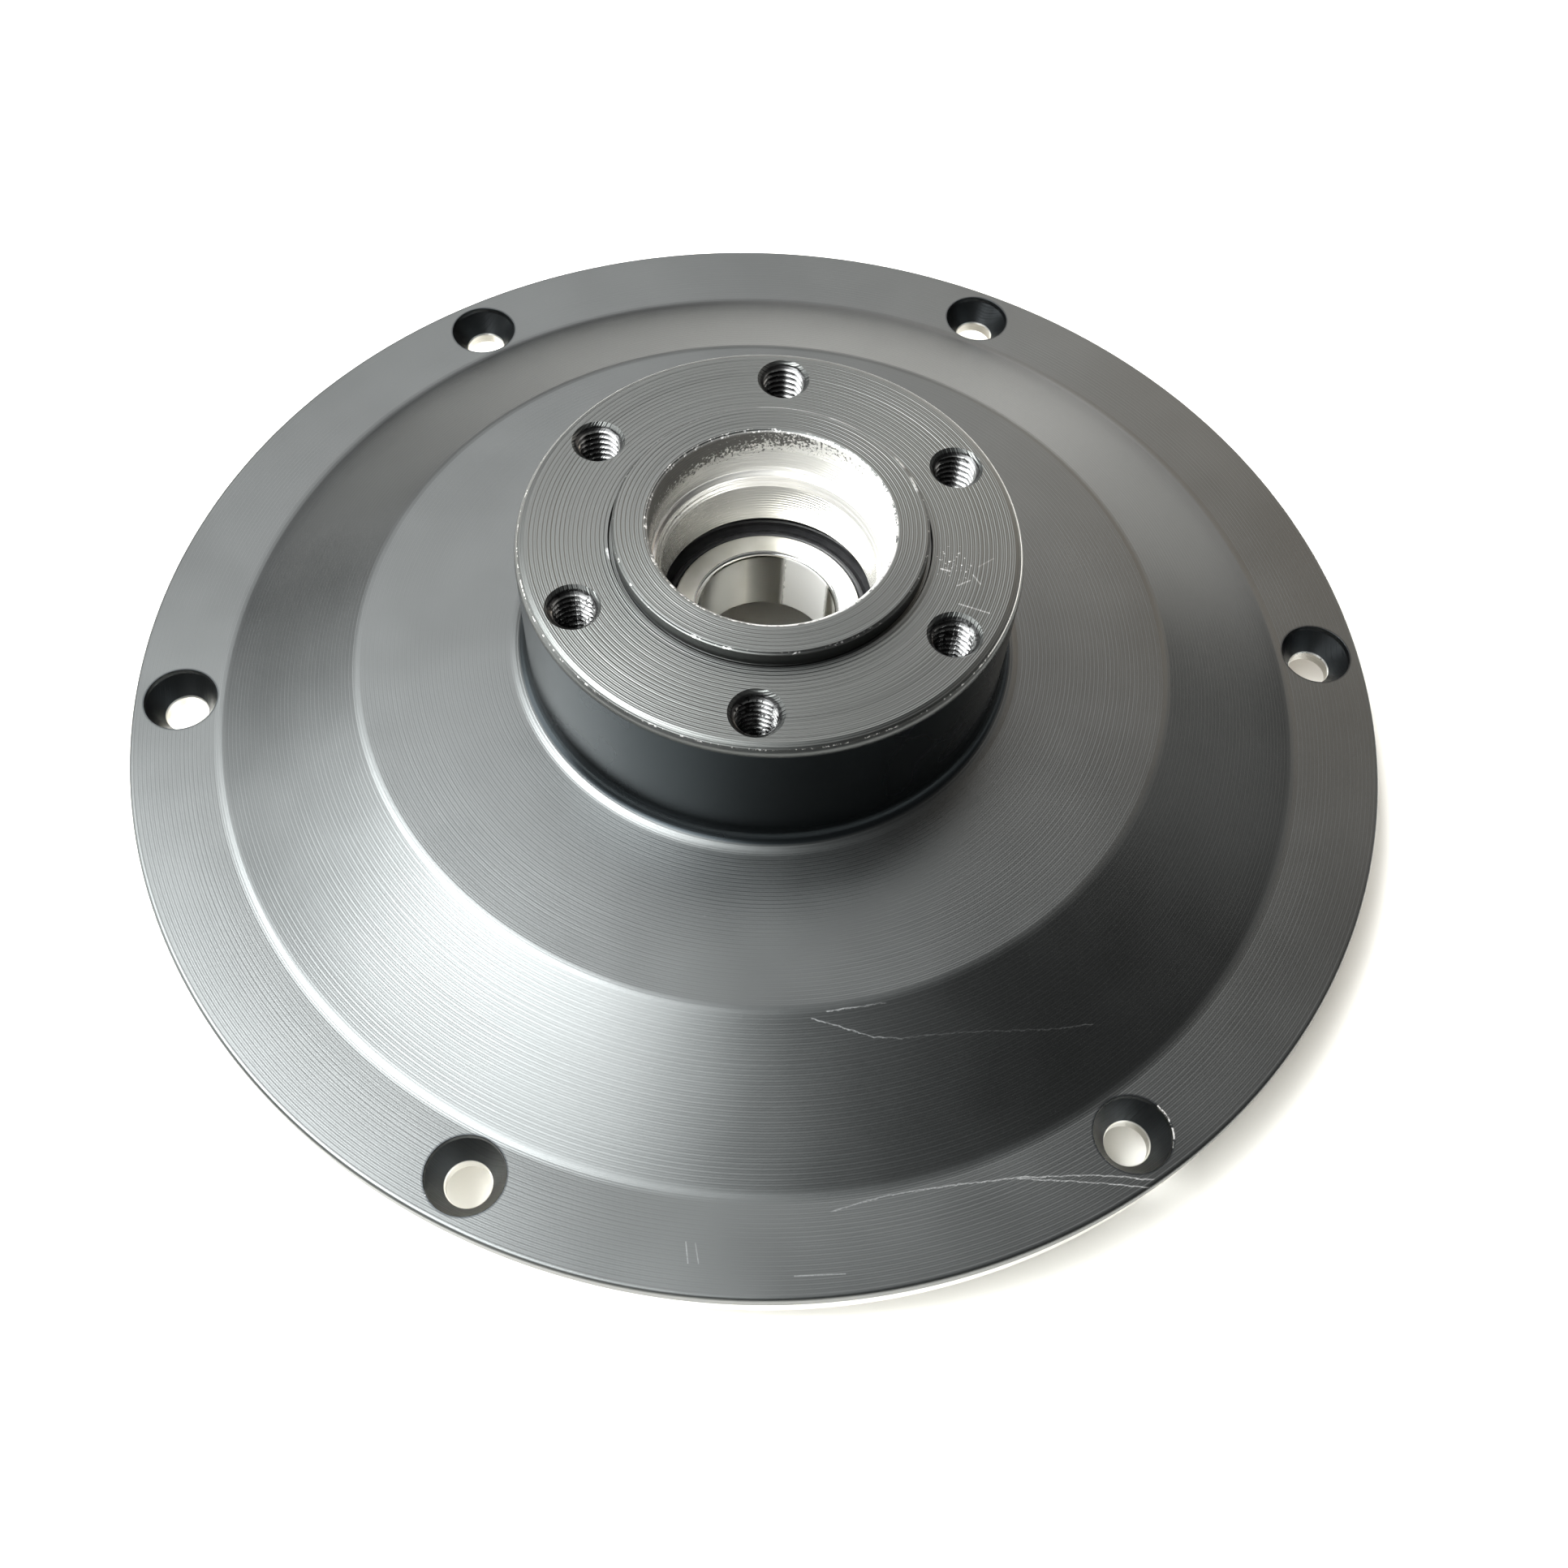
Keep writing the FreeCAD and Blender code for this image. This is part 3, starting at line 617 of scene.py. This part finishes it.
# Painted shade in the tapped holes, deepest towards the roots of the thread.
painted_root_shade = tapped_hole.between(2.14, 2.3)
residue = thread * y.between(2, -2) * lump.between(1.04, 1.16)
colour = bare.mix(tint, metal)
# Darkens the bore towards its left side.
colour = bore_left_darkening.mix(colour, (0.16, 0.158, 0.15))
colour = overspray.sum("MAXIMUM", pits).mix(colour, (0.045, 0.043, 0.04))
# Painted shade in the threads: grey crests over nearly black roots.
colour = thread.mix(colour, painted_root_shade.mix((0.31, 0.31, 0.305), (0.05, 0.05, 0.05)))
colour = residue.mix(colour, (0.02, 0.02, 0.02))
# Wear colour, which also paints the highlight along the boss edge.
colour = wear_and_painted_highlight.mix(colour, (0.85, 0.84, 0.82))
colour = scratch.mix(colour, (0.62, 0.63, 0.63))
colour = (dust * (1 - bare)).mix(colour, (0.3, 0.3, 0.3))
feed(shader, "Base Color", colour)
feed(shader, "Metallic", 1 - bore * z.between(31.0, 32.0, 0.35, 0.6))
rough = mottle.between(0.25, 0.75, 0.355, 0.385) + (speck - 0.5) * (1 - wall) * 0.06
rough = rough + bare * -0.08 + overspray * 0.25 + scratch * 0.1 - wall * 0.09 - thread * 0.06
feed(shader, "Roughness", rough)
bumps = (marks + drift * 0.02) * faces + height_marks * 0.006 + speck * z.between(18.9, 19.4, 0.005, 0.0005)
relief = Sock.node("ShaderNodeBump", {"Height": bumps, "Distance": 0.001, "Strength": 1.0})
feed(shader, "Normal", relief)
cover.data.materials.clear()
cover.data.materials.append(finish)
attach(cover, "cover")
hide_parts("side_cover")

# Bearing rings: hardened and ground steel; the outer ring is pressed into the cover, the inner one turns.
RING_R, BORE_RING, SHOULDER_R, LAND_R, RECESS_R, RECESS = 16.0, 7.5, 10.25, 13.3, 14.2, 1.2
BALL_R, BALL_CIRCLE, RACE_R, BALL_PLAY = 2.381, 23.5, 2.48, 0.03
RING_SIDES, TRACK_STEPS = 240, 17
MIDDLE = (BEARING_TOP + BEARING_FOOT) / 2


def race(side, edge):
    """The ball track of a ring as outline corners, from below to above; side 1 is the outer ring."""
    centre = BALL_CIRCLE / 2 + side * (BALL_R + BALL_PLAY - RACE_R)
    reach = math.sqrt(RACE_R ** 2 - (edge - centre) ** 2)
    lean = math.asin(reach / RACE_R)
    angles = np.linspace(-lean, lean, TRACK_STEPS)
    return [(centre + side * RACE_R * math.cos(a), MIDDLE + RACE_R * math.sin(a), 0, 0) for a in angles]


outer_corners = [
    (RING_R, BEARING_FOOT, 0.4, 4), (RING_R, BEARING_TOP, 0.4, 4), (RECESS_R, BEARING_TOP, 0.08, 2),
    (RECESS_R, BEARING_TOP - RECESS, 0, 0), (LAND_R, BEARING_TOP - RECESS, 0.06, 2),
] + race(1, LAND_R)[::-1] + [
    (LAND_R, BEARING_FOOT + RECESS, 0.06, 2), (RECESS_R, BEARING_FOOT + RECESS, 0, 0),
    (RECESS_R, BEARING_FOOT, 0.08, 2),
]
inner_corners = [
    (BORE_RING, BEARING_FOOT, 0.5, 6), (SHOULDER_R, BEARING_FOOT, 0.12, 3),
] + race(-1, SHOULDER_R) + [
    (SHOULDER_R, BEARING_TOP, 0.12, 3), (BORE_RING, BEARING_TOP, 0.5, 6),
]
# Their finish: ground faces, and a polished bore with painted reflections in its colour: a light streak and dull bands
# where the room would show in it.
steel, shader = new_finish("bearing_steel_with_painted_reflections")
spot, x, y, z, r = position()
face_marks = rings(r, 9.0, 2.0)
bore_marks = rings(z, 7.0, 2.0)
inner_wall = r.between(7.55, 7.65, 1, 0)
turned = y.sum("ARCTAN2", x)
# Painted reflection: a light streak down one side of the bore, also less metallic and rougher there.
painted_reflection_streak = inner_wall * (turned - 0.82).sum("COSINE").between(0.885, 0.94)
# Painted reflection: dull bands in the bore at the back and on the left.
painted_dull_bands = (turned - 1.48).sum("COSINE").between(0.92, 0.995)
painted_dull_bands = painted_dull_bands.sum("MAXIMUM", (turned - 2.7).sum("COSINE").between(0.5, 0.85))
eased = (1 - inner_wall) * r.between(8.0, 8.07, 1, 0)
steel_colour = grain(spot, 0.5, 3.0).between(0.3, 0.7).mix((0.79, 0.77, 0.69), (0.86, 0.84, 0.77))
# The painted dull bands darken the steel colour in the bore.
steel_colour = (painted_dull_bands * inner_wall).mix(steel_colour, (0.42, 0.415, 0.385))
# The painted light streak goes into the bore's colour here.
feed(shader, "Base Color", eased.mix(painted_reflection_streak.mix(steel_colour, (0.92, 0.91, 0.88)), (0.3, 0.3, 0.29)))
feed(shader, "Metallic", 0.88 + inner_wall * 0.12 - painted_reflection_streak * 0.5)
feed(shader, "Roughness", r.between(7.9, 8.2, 0.14, 0.34) + painted_reflection_streak * 0.16 + (grain(spot, 1.5) - 0.5) * 0.08)
grooves = face_marks * 0.004 + bore_marks * 0.002
feed(shader, "Normal", Sock.node("ShaderNodeBump", {"Height": grooves, "Distance": 0.001}))
for name, corners, body, node in (("outer_race_ring", outer_corners, "cover", "bearing_outer_ring"),
                                  ("inner_race_ring", inner_corners, "inner_ring", "bearing_inner_ring")):
    ring = lathe(name, corners, RING_SIDES, 0.04)
    smooth(ring)
    ring.data.materials.append(steel)
    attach(ring, body)
    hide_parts(node)

# Balls: nine polished chrome steel balls, which run between the rings.
# They stay as the solids, each on its own body, and only get their finish here.
polished, shader = new_finish("polished_ball_steel")
spot = position()[0]
feed(shader, "Base Color", grain(spot, 1.0, 2.0).between(0.3, 0.7).mix((0.72, 0.72, 0.72), (0.78, 0.78, 0.78)))
feed(shader, "Metallic", 1.0)
feed(shader, "Roughness", grain(spot, 4.0).between(0.2, 0.8, 0.05, 0.11))
for number in range(1, 10):
    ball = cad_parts["ball_%02d" % number]
    ball.data.materials.clear()
    ball.data.materials.append(polished)

# Cage: two ribbons pressed from thin steel strip, held together by nine small rivets.
# The halves stay as the solids and get their finish here.
pressed, shader = new_finish("pressed_cage_strip")
spot = position()[0]
feed(shader, "Base Color", grain(spot, 1.2, 3.0).between(0.3, 0.7).mix((0.42, 0.41, 0.39), (0.52, 0.51, 0.48)))
feed(shader, "Metallic", 1.0)
feed(shader, "Roughness", grain(spot, 3.0, 3.0).between(0.2, 0.8, 0.26, 0.42))
feed(shader, "Normal", Sock.node("ShaderNodeBump", {"Height": grain(spot, 6.0, 2.0) * 0.004, "Distance": 0.001}))
for node in ("cage_half_upper", "cage_half_lower"):
    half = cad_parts[node]
    half.data.materials.clear()
    half.data.materials.append(pressed)

# Rivets: nine small steel rivets that hold the cage halves together between the balls.
# Round heads are formed on both sides of the strip; one is turned and repeated round the axis.
RIVET_R, HEAD_R, HEAD_H, STRIP, RIVET_SIDES, FIRST_RIVET = 0.4, 0.75, 0.25, 0.4, 20, 20
dome = [(HEAD_R * math.cos(a), STRIP + HEAD_H * math.sin(a)) for a in np.linspace(0.05, 1.45, 6)]
shank = [(RIVET_R, STRIP), (RIVET_R, -STRIP)]
profile = dome[::-1] + shank + [(across, -up) for across, up in dome]
rivet = plug("cage_rivet_ring", [circle_points(across, MIDDLE + up, RIVET_SIDES) for across, up in profile])
ringed(rivet, 9, BALL_CIRCLE, FIRST_RIVET, pressed)
smooth(rivet)
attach(rivet, "cage")
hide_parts("cage_rivets")

# Seals: black rubber moulded on a thin steel washer, one on each side of the bearing.
# Each is snapped into the outer ring, and its lip runs close to the inner one.
SEAL_T, SET_BACK, LIP_GAP, DISH, BEAD, SEAL_SIDES = 0.8, 0.3, 0.06, 0.14, 0.15, 200
rubber, shader = new_finish("moulded_seal_rubber")
spot, *_, r = position()
feed(shader, "Base Color", grain(spot, 0.8, 3.0).between(0.3, 0.7).mix((0.010, 0.010, 0.011), (0.018, 0.018, 0.019)))
feed(shader, "Roughness", grain(spot, 2.5, 3.0).between(0.2, 0.8, 0.32, 0.5))
moulded = grain(spot, 9.0, 2.0) * 0.006 + rings(r, 3.0) * 0.02
feed(shader, "Normal", Sock.node("ShaderNodeBump", {"Height": moulded, "Distance": 0.001}))
lip = SHOULDER_R + LIP_GAP
for name, node, face, side in (("upper_seal_ring", "seal_upper", BEARING_TOP, 1),
                               ("lower_seal_ring", "seal_lower", BEARING_FOOT, -1)):
    outside = face - SET_BACK * side
    inside = outside - SEAL_T * side
    dish = outside - DISH * side
    bead = outside + BEAD * side
    seal = lathe(name, [
        (lip, inside, 0.08, 2), (RECESS_R, inside, 0.08, 2), (RECESS_R, outside, 0.12, 3),
        (lip + 2.4, outside, 0.1, 2), (lip + 2.2, dish, 0.1, 2), (lip + 1.1, dish, 0.1, 2),
        (lip + 0.8, outside, 0.1, 2), (lip + 0.6, bead, 0.1, 3), (lip + 0.25, bead, 0.1, 3),
        (lip, outside - 0.1 * side, 0.06, 2),
    ], SEAL_SIDES, 0.03)
    smooth(seal, 50)
    seal.data.materials.append(rubber)
    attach(seal, "cover")
    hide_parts(node)
